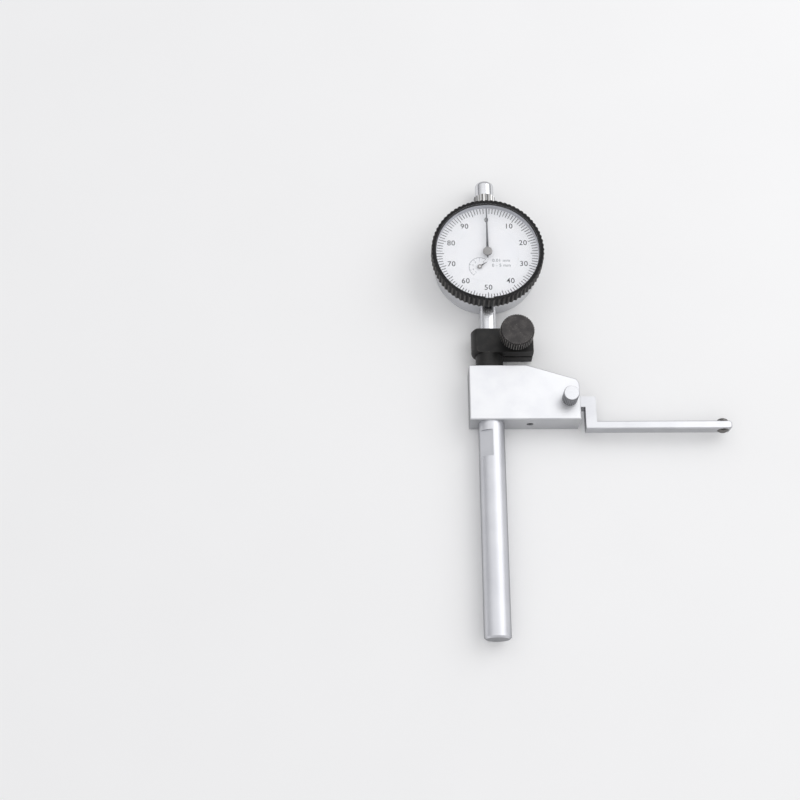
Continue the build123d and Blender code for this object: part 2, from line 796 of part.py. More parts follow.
# Return spring: close coils between a hook over the guide pin and a hook over the post
hook_r = guide_pin_d / 2 + spring_wire_d / 2 + spring_hook_clear
coil_bottom = spring_post_y + hook_r
coil_top = guide_pin_y - hook_r
coil_height = coil_top - coil_bottom
with BuildPart() as return_spring:
    with BuildLine() as coil_path:
        Helix(spring_pitch, coil_height, spring_r, center=(spring_x, coil_bottom, 0), direction=(0, 1, 0))
    coil_start = coil_path.line @ 0
    coil_end = coil_path.line @ 1
    with BuildSketch(Plane(origin=coil_start, z_dir=coil_path.line % 0)):
        Circle(spring_wire_d / 2)
    sweep(is_frenet=True)
    for corner in (coil_start, coil_end):
        centre = Vector(spring_x, corner.Y, 0)
        outward = (corner - centre).normalized()
        with BuildSketch(Plane(origin=centre - outward * spring_bend_overlap, z_dir=outward)):
            Circle(spring_bend_d / 2)
        extrude(amount=spring_r + spring_wire_d)
    with Locations(Plane(origin=(spring_x, guide_pin_y, 0), x_dir=(0, 1, 0), z_dir=(1, 0, 0))):
        Torus(hook_r, spring_wire_d / 2)
    with Locations(Plane(origin=(spring_x, spring_post_y, 0), x_dir=(1, 0, 0), z_dir=(0, 0, 1))):
        Torus(hook_r, spring_wire_d / 2)
return_spring.part.label = "return_spring"
export_step(return_spring.part, "parts/return_spring.step")


def toothed_wheel(x, y, z, turn):
    """A thin wheel with a rim, spokes and a hub, with a tooth at the angle turn."""
    rim_r = wheel_teeth * train_module / 2 - wheel_rim
    with BuildPart() as made:
        with BuildSketch(level(x, y, z)):
            with BuildLine():
                Polyline(*tooth_points(wheel_teeth, train_module, turn), close=True)
            make_face()
            Circle(rim_r, mode=Mode.SUBTRACT)
            with PolarLocations(rim_r / 2, wheel_spokes):
                Rectangle(rim_r + wheel_rim, wheel_rim)
            Circle(wheel_hub_r)
            Circle(arbor_d / 2, mode=Mode.SUBTRACT)
        extrude(amount=wheel_thick)
    return made.part


def arbor(x, y, back, body_back, body_front, front, front_d):
    """A turned arbor along Z with a pivot at its back and a longer pivot through the front plate."""
    with BuildPart() as made:
        for start, end, d in (
            (back, body_back, arbor_pivot_d),
            (body_back, body_front, arbor_d),
            (body_front, front, front_d),
        ):
            with BuildSketch(level(x, y, start)):
                Circle(d / 2)
            extrude(amount=end - start)
    return made.part


# Rack pinion on the counter arbor, with its wheel and hand
counter_arbor_front = counter_hand_level + hand_thick
with BuildPart() as rack_pinion:
    add(
        arbor(
            -counter_left,
            counter_y,
            bridge_back + end_play,
            bridge_front + end_play,
            front_plate_back - end_play,
            counter_arbor_front,
            arbor_pivot_d,
        )
    )
    with BuildSketch(level(-counter_left, counter_y, -rack_pinion_half)):
        with BuildLine():
            rack_pinion_shape = {"addendum": 0.9, "dedendum": 1.2, "flank": 0.40}
            Polyline(*tooth_points(rack_pinion_teeth, rack_module, 0, **rack_pinion_shape), close=True)
        make_face()
    extrude(amount=2 * rack_pinion_half)
rack_pinion.part.label = "rack_pinion"
export_step(rack_pinion.part, "parts/rack_pinion.step")

counter_wheel = toothed_wheel(-counter_left, counter_y, counter_wheel_level, counter_angle)
counter_wheel.label = "counter_wheel"
export_step(counter_wheel, "parts/counter_wheel.step")

# Centre pinion: it meshes with both wheels and carries the main hand
pinion_turn = counter_angle + 180 + 180 / centre_pinion_teeth
with BuildPart() as centre_pinion:
    with BuildSketch(level(0, dial_y, web_front + end_play)):
        with BuildLine():
            pinion_shape = {"addendum": 0.9, "dedendum": 1.3, "flank": 0.38, "tip": 0.16}
            outline = tooth_points(centre_pinion_teeth, train_module, pinion_turn, **pinion_shape)
            Polyline(*outline, close=True)
        make_face()
    extrude(amount=front_plate_back - web_front - 2 * end_play)
    with BuildSketch(level(0, dial_y, web_back + end_play)):
        Circle(arbor_pivot_d / 2)
    extrude(amount=main_hand_level + arbor_in_hand - web_back - end_play)
centre_pinion.part.label = "centre_pinion"
export_step(centre_pinion.part, "parts/centre_pinion.step")

# Take-up arbor and wheel, which the hairspring keeps loaded against the centre pinion
takeup_arbor = arbor(
    takeup_x,
    takeup_y,
    web_back + end_play,
    web_front + end_play,
    front_plate_back - end_play,
    front_plate_front,
    arbor_pivot_d,
)
takeup_arbor.label = "takeup_arbor"
export_step(takeup_arbor, "parts/takeup_arbor.step")

takeup_wheel_turn = takeup_angle + 180 + 180 / wheel_teeth
takeup_wheel = toothed_wheel(takeup_x, takeup_y, takeup_wheel_level, takeup_wheel_turn)
takeup_wheel.label = "takeup_wheel"
export_step(takeup_wheel, "parts/takeup_wheel.step")

# Hairspring: a flat spiral round the take-up arbor, pinned to a stud at its outer end
hair_steps = hair_steps_per_turn * hair_turns
hair_growth = (hair_outer_r - hair_inner_r) / hair_steps
hair_spiral = [
    (hair_inner_r + i * hair_growth, i * 360 / hair_steps_per_turn) for i in range(hair_steps + 1)
]
with BuildPart() as hairspring:
    with BuildSketch(level(takeup_x, takeup_y, hairspring_level)):
        with BuildLine():
            outer_side = [polar_point(r + hair_wire / 2, angle) for r, angle in hair_spiral]
            inner_side = [polar_point(r - hair_wire / 2, angle) for r, angle in reversed(hair_spiral)]
            Polyline(*outer_side, *inner_side, close=True)
        make_face()
    extrude(amount=hair_height)
hairspring.part.label = "hairspring"
export_step(hairspring.part, "parts/hairspring.step")

with BuildPart() as hairspring_stud:
    stud_x = takeup_x + hair_outer_r + hair_wire / 2 + hair_stud_d / 2
    with BuildSketch(level(stud_x, takeup_y, hairspring_level)):
        Circle(hair_stud_d / 2)
    extrude(amount=front_plate_back - hairspring_level)
hairspring_stud.part.label = "hairspring_stud"
export_step(hairspring_stud.part, "parts/hairspring_stud.step")

# Front plate: carries the front pivots and the dial's fixed centre
with BuildPart() as front_plate:
    with BuildSketch(level(0, dial_y, front_plate_back)):
        Circle(front_plate_r)
        Circle(arbor_pivot_d / 2 + running_clear, mode=Mode.SUBTRACT)
        with Locations((takeup_x, takeup_y - dial_y), (-counter_left, counter_y - dial_y)):
            Circle(arbor_pivot_d / 2 + running_clear, mode=Mode.SUBTRACT)
        for angle in plate_pillar_angles:
            with Locations(polar_point(plate_pillar_r, angle)):
                Circle(small_screw_d / 2, mode=Mode.SUBTRACT)
    extrude(amount=front_plate_thick)
front_plate.part.label = "front_plate"
export_step(front_plate.part, "parts/front_plate.step")

plate_pillar_points = [polar_point(plate_pillar_r, angle) for angle in plate_pillar_angles]
with BuildPart() as plate_pillars:
    with BuildSketch(level(0, dial_y, web_front)):
        with Locations(*plate_pillar_points):
            Circle(pillar_d / 2)
    extrude(amount=front_plate_back - web_front)
    with BuildSketch(level(0, dial_y, front_plate_back)):
        with Locations(*plate_pillar_points):
            Circle(small_screw_d / 2)
    extrude(amount=-(small_screw_length - front_plate_thick), mode=Mode.SUBTRACT)
plate_pillars.part.label = "plate_pillars"
export_step(plate_pillars.part, "parts/plate_pillars.step")

plate_screws = Compound(
    children=[
        screw(
            x,
            dial_y + y,
            front_plate_front,
            1,
            small_head_d,
            small_head_height,
            small_screw_d,
            small_screw_length,
        )
        for x, y in plate_pillar_points
    ]
)
plate_screws.label = "plate_screws"
export_step(plate_screws, "parts/plate_screws.step")

# Rear bridge: carries the back pivot of the counter arbor behind the spindle
with BuildPart() as rear_bridge:
    with BuildSketch(level(0, counter_y, bridge_back)):
        SlotCenterToCenter(2 * bridge_pillar_x, bridge_width)
        with Locations((-counter_left, 0)):
            Circle(arbor_pivot_d / 2 + running_clear, mode=Mode.SUBTRACT)
        with Locations((-bridge_pillar_x, 0), (bridge_pillar_x, 0)):
            Circle(small_screw_d / 2, mode=Mode.SUBTRACT)
    extrude(amount=bridge_thick)
rear_bridge.part.label = "rear_bridge"
export_step(rear_bridge.part, "parts/rear_bridge.step")

with BuildPart() as bridge_pillars:
    with BuildSketch(level(0, counter_y, bridge_front)):
        with Locations((-bridge_pillar_x, 0), (bridge_pillar_x, 0)):
            Circle(pillar_d / 2)
    extrude(amount=web_back - bridge_front)
    with BuildSketch(level(0, counter_y, bridge_front)):
        with Locations((-bridge_pillar_x, 0), (bridge_pillar_x, 0)):
            Circle(small_screw_d / 2)
    extrude(amount=small_screw_length - bridge_thick, mode=Mode.SUBTRACT)
bridge_pillars.part.label = "bridge_pillars"
export_step(bridge_pillars.part, "parts/bridge_pillars.step")

bridge_screws = Compound(
    children=[
        screw(
            x,
            counter_y,
            bridge_back,
            -1,
            small_head_d,
            small_head_height,
            small_screw_d,
            small_screw_length,
        )
        for x in (-bridge_pillar_x, bridge_pillar_x)
    ]
)
bridge_screws.label = "bridge_screws"
export_step(bridge_screws, "parts/bridge_screws.step")

# Dial centre: a fixed white disc on two feet, with holes for the two hand arbors
dial_back = dial_face - dial_plate_thick
with BuildPart() as dial_centre:
    with BuildSketch(level(0, dial_y, dial_back)):
        Circle(dial_centre_r)
        Circle(arbor_pivot_d / 2 + thin_gap, mode=Mode.SUBTRACT)
        with Locations((-counter_left, counter_y - dial_y)):
            Circle(arbor_pivot_d / 2 + thin_gap, mode=Mode.SUBTRACT)
    extrude(amount=dial_plate_thick)
    with BuildSketch(level(0, dial_y, dial_back)):
        with Locations((dial_centre_r - dial_foot_inset, 0), (dial_foot_inset - dial_centre_r, 0)):
            Circle(dial_foot_d / 2)
    extrude(amount=front_plate_front - dial_back)
dial_centre.part.label = "dial_centre"
export_step(dial_centre.part, "parts/dial_centre.step")

# Dial ring: the scale plate, keyed into the bezel at the bottom so that both turn together
with BuildPart() as dial_ring:
    with BuildSketch(level(0, dial_y, dial_back)):
        Circle(dial_ring_r)
        with Locations((0, -bezel_open_r)):
            Rectangle(dial_key_width - 2 * face_clear, 2 * dial_key_depth)
        Circle(dial_centre_r + dial_gap, mode=Mode.SUBTRACT)
    extrude(amount=dial_plate_thick)
dial_ring.part.label = "dial_ring"
export_step(dial_ring.part, "parts/dial_ring.step")

# Bezel: a knurled ring that turns on the case's neck
bezel_back = case_front + 2 * face_clear
with BuildPart() as bezel:
    with BuildSketch(level(0, dial_y, bezel_back)):
        with BuildLine():
            Polyline(*knurl_points(bezel_r, bezel_ridges, bezel_knurl_depth), close=True)
        make_face()
    extrude(amount=bezel_front - bezel_back)
    with BuildSketch(dial_section):
        with BuildLine():
            Polyline(*rim_points(bezel_r, bezel_front, -1, bezel_edge), close=True)
        make_face()
        with BuildLine():
            groove = case_front + wire_above_shoulder
            Polyline(
                (0, bezel_back),
                (bezel_bore_r, bezel_back),
                (bezel_bore_r, groove - bezel_groove_height / 2),
                (bezel_bore_r + bezel_groove_height / 2, groove - bezel_groove_height / 2),
                (bezel_bore_r + bezel_groove_height / 2, groove + bezel_groove_height / 2),
                (bezel_bore_r, groove + bezel_groove_height / 2),
                (bezel_bore_r, dial_face),
                (bezel_open_r, dial_face),
                (bezel_open_r, bezel_front - crystal_below_front - crystal_thick),
                (crystal_r, bezel_front - crystal_below_front - crystal_thick),
                (crystal_r, bezel_front),
                (0, bezel_front),
                close=True,
            )
        make_face()
    revolve(axis=dial_axis, mode=Mode.SUBTRACT)
    with BuildSketch(level(0, dial_y - bezel_open_r, dial_back)):
        Rectangle(dial_key_width, 2 * dial_key_depth)
    extrude(amount=bezel_front - dial_back, mode=Mode.SUBTRACT)
bezel.part.label = "bezel"
export_step(bezel.part, "parts/bezel.step")

# Crystal: a flat clear disc in the bezel's front seat
with BuildPart() as crystal:
    with BuildSketch(level(0, dial_y, bezel_front - crystal_below_front - crystal_thick)):
        Circle(crystal_r)
    extrude(amount=crystal_thick)
crystal.part.label = "crystal"
export_step(crystal.part, "parts/crystal.step")

# Bezel wire: a sprung ring in the case's groove that keeps the bezel on
with BuildPart() as bezel_wire:
    with BuildSketch(dial_section):
        with Locations((case_neck_r, case_front + wire_above_shoulder)):
            Circle(wire_d / 2)
    revolve(axis=dial_axis, revolution_arc=wire_arc)
bezel_wire.part.label = "bezel_wire"
export_step(bezel_wire.part, "parts/bezel_wire.step")

# Main hand: a long tapered blade with a short tail, under a round cap
with BuildPart() as main_hand:
    with BuildSketch(level(0, dial_y, main_hand_level)):
        with BuildLine():
            Polyline(
                (-main_hand_width / 2, 0),
                (-main_hand_tip_width / 2, -main_hand_tail),
                (main_hand_tip_width / 2, -main_hand_tail),
                (main_hand_width / 2, 0),
                (main_hand_tip_width / 2, main_hand_reach - main_hand_width),
                (0, main_hand_reach),
                (-main_hand_tip_width / 2, main_hand_reach - main_hand_width),
                close=True,
            )
        make_face()
        Circle(hand_cap_d / 2)
    extrude(amount=hand_thick)
    with BuildSketch(level(0, dial_y, main_hand_level + hand_thick)):
        Circle(hand_cap_d / 2)
    extrude(amount=hand_cap_height - hand_thick)
    fillet(main_hand.edges().group_by(Axis.Z)[-1], hand_cap_height / 2)
    with BuildSketch(level(0, dial_y, main_hand_level)):
        Circle(arbor_pivot_d / 2)
    extrude(amount=arbor_in_hand, mode=Mode.SUBTRACT)
main_hand.part.label = "main_hand"
export_step(main_hand.part, "parts/main_hand.step")

# Counter hand: short tapered blade on the counter arbor
with BuildPart() as counter_hand:
    with BuildSketch(level(-counter_left, counter_y, counter_hand_level)):
        with BuildLine():
            along = [
                polar_point(counter_hand_reach, counter_hand_turn),
                polar_point(counter_hand_tail, counter_hand_turn + 180),
            ]
            across = polar_point(counter_hand_width / 2, counter_hand_turn + 90)
            Polyline(
                (across[0], across[1]),
                along[0],
                (-across[0], -across[1]),
                along[1],
                close=True,
            )
        make_face()
        Circle(counter_hand_boss_d / 2)
        Circle(arbor_pivot_d / 2, mode=Mode.SUBTRACT)
    extrude(amount=hand_thick)
counter_hand.part.label = "counter_hand"
export_step(counter_hand.part, "parts/counter_hand.step")
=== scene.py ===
"""Finishes, dial print, light and camera for a centring dial indicator, around its CAD frame.

Lengths in the dataclass fields are millimetres in the frame of the CAD model: the shank runs
along +Y from the origin, the feeler arm along +X, and the dial faces +Z.
"""

import logging
import math
from abc import ABC, abstractmethod
from collections.abc import Mapping, Sequence
from dataclasses import dataclass, field
from enum import Enum

import bmesh
import bpy
from mathutils import Matrix, Vector


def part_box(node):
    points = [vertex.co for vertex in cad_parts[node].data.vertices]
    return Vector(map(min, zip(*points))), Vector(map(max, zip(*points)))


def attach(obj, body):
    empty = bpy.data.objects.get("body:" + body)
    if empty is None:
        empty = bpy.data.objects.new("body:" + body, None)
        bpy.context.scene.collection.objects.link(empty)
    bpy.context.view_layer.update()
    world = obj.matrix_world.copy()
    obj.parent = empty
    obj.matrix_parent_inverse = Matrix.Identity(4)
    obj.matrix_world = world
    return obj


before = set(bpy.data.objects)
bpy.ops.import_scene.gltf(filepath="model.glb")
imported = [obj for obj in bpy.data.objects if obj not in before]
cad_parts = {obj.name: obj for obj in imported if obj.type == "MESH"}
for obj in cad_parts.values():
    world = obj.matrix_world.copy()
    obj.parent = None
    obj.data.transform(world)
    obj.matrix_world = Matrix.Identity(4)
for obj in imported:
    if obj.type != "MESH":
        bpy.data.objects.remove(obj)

log = logging.getLogger("dial_indicator")

MM = 0.001

Colour = tuple[float, float, float]
Point = tuple[float, float, float]
Spot = tuple[float, float]
Span = tuple[float, float]


def hub(node: str) -> Point:
    """Where the axis of a round CAD node that faces the dial's way meets the shank's level.

    Args:
        node: The node's name.

    Returns:
        The middle of its box across that axis, in millimetres.
    """
    low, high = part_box(node)
    return (low[0] + high[0]) / 2 / MM, (low[1] + high[1]) / 2 / MM, 0.0


def top(node: str) -> float:
    """The height of a CAD node's highest point, in millimetres."""
    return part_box(node)[1][2] / MM


def reach(node: str) -> float:
    """The greatest radius of a round CAD node, in millimetres."""
    low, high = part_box(node)
    return (high[0] - low[0]) / 2 / MM


def ridges(node: str, depth: float) -> Span:
    """The radii between which a knurled CAD node has its ridges.

    Args:
        node: The node's name.
        depth: How deep the valleys are, in millimetres.

    Returns:
        The radius of the valleys and of the ridges.
    """
    crest = reach(node)
    return crest - depth, crest


def paint_colour(red: int, green: int, blue: int) -> Colour:
    """Turns a colour as a screen shows it into the linear colour that a shader works in.

    Args:
        red: Red from 0 to 255.
        green: Green from 0 to 255.
        blue: Blue from 0 to 255.

    Returns:
        The linear red, green and blue from 0 to 1.
    """
    knee, slope, offset, power = 0.04045, 12.92, 0.055, 2.4
    parts = [channel / 255 for channel in (red, green, blue)]
    return tuple(
        part / slope if part <= knee else ((part + offset) / (1 + offset)) ** power
        for part in parts
    )


class Axis(Enum):
    """A direction of the object's frame."""

    X = 0
    Y = 1
    Z = 2


class Lay(Enum):
    """How the fine marks of a machined surface run."""

    EVEN = "blasted, with no direction"
    ALONG = "ground along an axis"
    ROUND = "turned about an axis"


class Value:
    """One output socket, on which Python's arithmetic adds Math nodes."""

    def __init__(self, nodes: "Nodes", socket: bpy.types.NodeSocket) -> None:
        """Keeps the socket and the tree that it belongs to."""
        self.nodes = nodes
        self.socket = socket

    def math(self, operation: str, *terms: "Value | float") -> "Value":
        """Adds one Math node.

        Args:
            operation: The Math node's operation.
            *terms: Its inputs in order.

        Returns:
            The node's result.
        """
        return self.nodes.node("ShaderNodeMath", {"operation": operation}, dict(enumerate(terms)))

    def __add__(self, other: "Value | float") -> "Value":
        """Adds a value or a number."""
        return self.math("ADD", self, other)

    def __radd__(self, other: float) -> "Value":
        """Adds this value to a number."""
        return self.math("ADD", other, self)

    def __sub__(self, other: "Value | float") -> "Value":
        """Takes a value or a number away."""
        return self.math("SUBTRACT", self, other)

    def __rsub__(self, other: float) -> "Value":
        """Takes this value from a number."""
        return self.math("SUBTRACT", other, self)

    def __mul__(self, other: "Value | float") -> "Value":
        """Multiplies by a value or a number."""
        return self.math("MULTIPLY", self, other)

    def __rmul__(self, other: float) -> "Value":
        """Multiplies a number by this value."""
        return self.math("MULTIPLY", other, self)

    def __pow__(self, power: "Value | float") -> "Value":
        """Raises to a power."""
        return self.math("POWER", self, power)

    def __rpow__(self, base: float) -> "Value":
        """Raises a number to this power."""
        return self.math("POWER", base, self)

    def rise(self, low: float, high: float) -> "Value":
        """A smooth mask that is 0 at low and 1 at high.

        Args:
            low: The value at which the mask starts.
            high: The value at which it is full.

        Returns:
            The mask from 0 to 1.
        """
        return self.nodes.node(
            "ShaderNodeMapRange",
            {"interpolation_type": "SMOOTHSTEP"},
            {0: self, 1: low, 2: high, 3: 0.0, 4: 1.0},
        )


class Nodes:
    """A node tree, and the one way in which nodes are added to it."""

    def __init__(self, tree: bpy.types.NodeTree) -> None:
        """Keeps the tree."""
        self.tree = tree

    def link(self, node: bpy.types.Node, key: "str | int", term: "Value | object") -> None:
        """Sets one input of a node.

        Args:
            node: The node.
            key: The input's name or number.
            term: A Value to link, or the constant to set.
        """
        if isinstance(term, Value):
            self.tree.links.new(term.socket, node.inputs[key])
        else:
            node.inputs[key].default_value = term

    def node(
        self,
        kind: str,
        settings: Mapping[str, object] | None = None,
        sockets: "Mapping[str | int, Value | object] | None" = None,
        output: "str | int" = 0,
    ) -> Value:
        """Adds any node: its settings are made first, and then its inputs.

        Args:
            kind: The node's type.
            settings: Its own settings by name. A ramp's are "stops", pairs of place and colour.
            sockets: Its inputs by name or number.
            output: The output that is wanted.

        Returns:
            That output.
        """
        node = self.tree.nodes.new(kind)
        for name, setting in (settings or {}).items():
            if name == "stops":
                self._stops(node.color_ramp, setting)
            else:
                setattr(node, name, setting)
        for key, term in (sockets or {}).items():
            self.link(node, key, term)
        return Value(self, node.outputs[output])

    @staticmethod
    def _stops(ramp: bpy.types.ColorRamp, stops: Sequence[tuple[float, Colour]]) -> None:
        """Gives a ramp its stops, each a place from 0 to 1 and a colour."""
        while len(ramp.elements) < len(stops):
            ramp.elements.new(0.5)
        for element, (place, colour) in zip(ramp.elements, stops):
            element.position = place
            element.color = (*colour, 1.0)

    def parts(self, vector: Value) -> tuple[Value, Value, Value]:
        """The three parts of a vector."""
        split = self.node("ShaderNodeSeparateXYZ", sockets={0: vector}).socket.node
        return tuple(Value(self, output) for output in split.outputs)


class Shader(Nodes):
    """A material's nodes, with the patterns that the finishes share."""

    def __init__(self, name: str) -> None:
        """Makes a material of that name with a plain Principled shader."""
        self.material = bpy.data.materials.new(name)
        self.material.use_nodes = True
        super().__init__(self.material.node_tree)
        self.surface = self.tree.nodes["Principled BSDF"]

    def place(self) -> Value:
        """The point on the surface in millimetres, in the frame that moves with the part."""
        at = self.node("ShaderNodeTexCoord", output="Object")
        return self.scaled(at, (1 / MM,) * 3)

    def scaled(self, vector: Value, scale: Point) -> Value:
        """A vector multiplied part by part."""
        return self.node("ShaderNodeVectorMath", {"operation": "MULTIPLY"}, {0: vector, 1: scale})

    def joined(self, *numbers: "Value | float") -> Value:
        """A vector made of three values."""
        return self.node("ShaderNodeCombineXYZ", sockets=dict(enumerate(numbers)))

    def noise(self, vector: Value, pitch: float, detail: float = 2.0) -> Value:
        """Soft random variation between about 0.3 and 0.7.

        Args:
            vector: The point in millimetres.
            pitch: The size of one blotch in millimetres.
            detail: How many finer layers it has.

        Returns:
            The noise.
        """
        sockets = {"Vector": vector, "Scale": 1 / pitch, "Detail": detail}
        return self.node("ShaderNodeTexNoise", sockets=sockets)

    def from_axis(self, axis: Axis, centre: Point) -> tuple[Value, Value]:
        """Distance from an axis, and the place along it, in millimetres.

        Args:
            axis: The axis's direction.
            centre: A point on it.

        Returns:
            The distance and the place.
        """
        moved = self.node(
            "ShaderNodeVectorMath", {"operation": "SUBTRACT"}, {0: self.place(), 1: centre}
        )
        flat = tuple(0.0 if step == axis.value else 1.0 for step in range(3))
        across = self.scaled(moved, flat)
        radius = self.node(
            "ShaderNodeVectorMath", {"operation": "LENGTH"}, {0: across}, output="Value"
        )
        return radius, self.parts(moved)[axis.value]

    def upright(self, axis: Axis) -> Value:
        """A mask of the faces that stand along an axis, such as a cylinder's side or a bore."""
        upright, lying = 0.2, 0.8
        normal = self.node("ShaderNodeTexCoord", output="Normal")
        return 1 - (self.parts(normal)[axis.value] ** 2).rise(upright, lying)

    def side(self, axis: Axis, centre: Point, knurl: Span) -> tuple[Value, Value]:
        """Where a knurled piece's side is, and how high its ridges stand there.

        Args:
            axis: The piece's axis.
            centre: A point on it.
            knurl: The radius of the valleys and of the ridges.

        Returns:
            A mask of the side, and one that is 0 in the valleys and 1 on the ridges.
        """
        valley, crest = knurl
        below, blend = 0.15, 0.1
        radius, _ = self.from_axis(axis, centre)
        knurled = radius.rise(valley - below, valley - below + blend)
        return knurled * self.upright(axis), radius.rise(valley, crest)

    def marks(self, lay: Lay, axis: Axis, centre: Point, pitch: float) -> Value:
        """The fine marks that a process leaves on metal.

        Args:
            lay: How the marks run.
            axis: The axis that they run along or round.
            centre: A point on that axis.
            pitch: Their width in millimetres.

        Returns:
            The marks as a value around 0.5.
        """
        times_longer, detail = 40.0, 3.0
        if lay is Lay.ROUND:
            return self.noise(self.joined(*self.from_axis(axis, centre), 0.0), pitch, detail)
        if lay is Lay.ALONG:
            stretch = tuple(1 / times_longer if step == axis.value else 1.0 for step in range(3))
            return self.noise(self.scaled(self.place(), stretch), pitch, detail)
        return self.noise(self.place(), pitch, detail)

    def mix(self, mask: "Value | float", low: "Value | Colour", high: "Value | Colour") -> Value:
        """Mixes two colours.

        Args:
            mask: 0 for the first colour and 1 for the second.
            low: The first colour.
            high: The second colour.

        Returns:
            The mixed colour.
        """
        factor, first, second, result = 0, 6, 7, 2
        pair = [term if isinstance(term, Value) else (*term, 1.0) for term in (low, high)]
        return self.node(
            "ShaderNodeMix",
            {"data_type": "RGBA"},
            {factor: mask, first: pair[0], second: pair[1]},
            output=result,
        )

    def limb(self) -> Value:
        """A mask for painted shade: it rises from 0, face on, to 1 where the surface is seen edge
        on.
        """
        start, full = 0.3, 1.0
        facing = self.node("ShaderNodeLayerWeight", sockets={"Blend": 0.5}, output="Facing")
        return facing.rise(start, full)

    def edges(self, radius: float) -> Value:
        """A mask that is 1 on sharp outer and inner edges.

        Args:
            radius: The width of the worn edge in millimetres.

        Returns:
            The mask from 0 to 1.
        """
        samples, start, full = 4, 0.01, 0.12
        rounded = self.node("ShaderNodeBevel", {"samples": samples}, {"Radius": radius * MM})
        normal = self.node("ShaderNodeNewGeometry", output="Normal")
        likeness = self.node(
            "ShaderNodeVectorMath", {"operation": "DOT_PRODUCT"}, {0: rounded, 1: normal}, "Value"
        )
        return (1 - likeness).rise(start, full)

    def bump(self, height: Value, depth: float) -> Value:
        """A surface relief.

        Args:
            height: The relief from 0 to 1.
            depth: Its full depth in millimetres.

        Returns:
            The normal to link to the shader.
        """
        return self.node("ShaderNodeBump", sockets={"Distance": depth * MM, "Height": height})

    def finish(self, **inputs: "Value | object") -> bpy.types.Material:
        """Sets the Principled shader's inputs.

        Args:
            **inputs: The inputs, named as their sockets with _ for a space.

        Returns:
            The finished material.
        """
        for name, term in inputs.items():
            self.link(self.surface, name.replace("_", " "), term)
        return self.material


@dataclass(frozen=True)
class Finish(ABC):
    """One surface finish, which makes a material for a piece."""

    name: str

    @abstractmethod
    def material(self) -> bpy.types.Material:
        """Makes the material."""


@dataclass(frozen=True)
class Steel(Finish):
    """Bare or plated metal with tool marks, smears and worn edges, and painted shade towards its
    outline and on knurled sides.
    """

    colour: Colour = paint_colour(234, 235, 238)
    shade: Colour = paint_colour(220, 221, 225)
    roughness: float = 0.34
    lay: Lay = Lay.EVEN
    axis: Axis = Axis.Z
    centre: Point = (0.0, 0.0, 0.0)
    pitch: float = 0.12
    depth: float = 0.004
    smear: float = 9.0
    smear_share: float = 0.4
    contrast: Span = (0.3, 0.62)
    spread: float = 0.12
    edge: float = 0.25
    wear: Span = (0.35, 0.55)
    wear_cover: float = 0.6
    knurl: Span | None = None
    # A knurled side is darkened towards the colour below: dirt in the valleys and painted shade
    # over the whole side. crest is how much less of it the ridges get.
    crest: float = 0.7
    grime: Colour = paint_colour(58, 60, 63)
    # Painted shade: how strongly, and towards what colour, the metal is darkened where it is seen
    # edge on, standing in for the dark surroundings that it reflects.
    limb: float = 0.45
    limb_colour: Colour = paint_colour(96, 97, 100)

    def material(self) -> bpy.types.Material:
        """Makes the material: fine marks in colour, roughness and relief over broad smears, with
        painted shade where it is seen edge on.
        """
        shader = Shader(self.name)
        marks = shader.marks(self.lay, self.axis, self.centre, self.pitch)
        smears = shader.noise(shader.place(), self.smear, detail=4.0)
        bright = (smears * 0.5 + marks * 0.5).rise(*self.contrast)
        worn = shader.edges(self.edge) * smears.rise(*self.wear)
        colour = shader.mix(bright, self.shade, self.colour)
        # Dirt and painted shade: the knurled side is darkened, fully in the valleys and in part
        # on the ridges.
        if self.knurl:
            side, ridge = shader.side(self.axis, self.centre, self.knurl)
            colour = shader.mix(side * (1 - ridge * self.crest), colour, self.grime)
        colour = shader.mix(worn * self.wear_cover, colour, self.colour)
        # Painted shade: the colour darkens towards the outline, a painted dark reflection of the
        # surroundings.
        colour = shader.mix(shader.limb() * self.limb, colour, self.limb_colour)
        roughness = self.roughness + (marks - 0.5) * self.spread
        roughness = roughness + (smears - 0.5) * self.spread * self.smear_share
        return shader.finish(
            Base_Color=colour,
            Metallic=1.0,
            Roughness=roughness,
            Normal=shader.bump(marks, self.depth),
        )


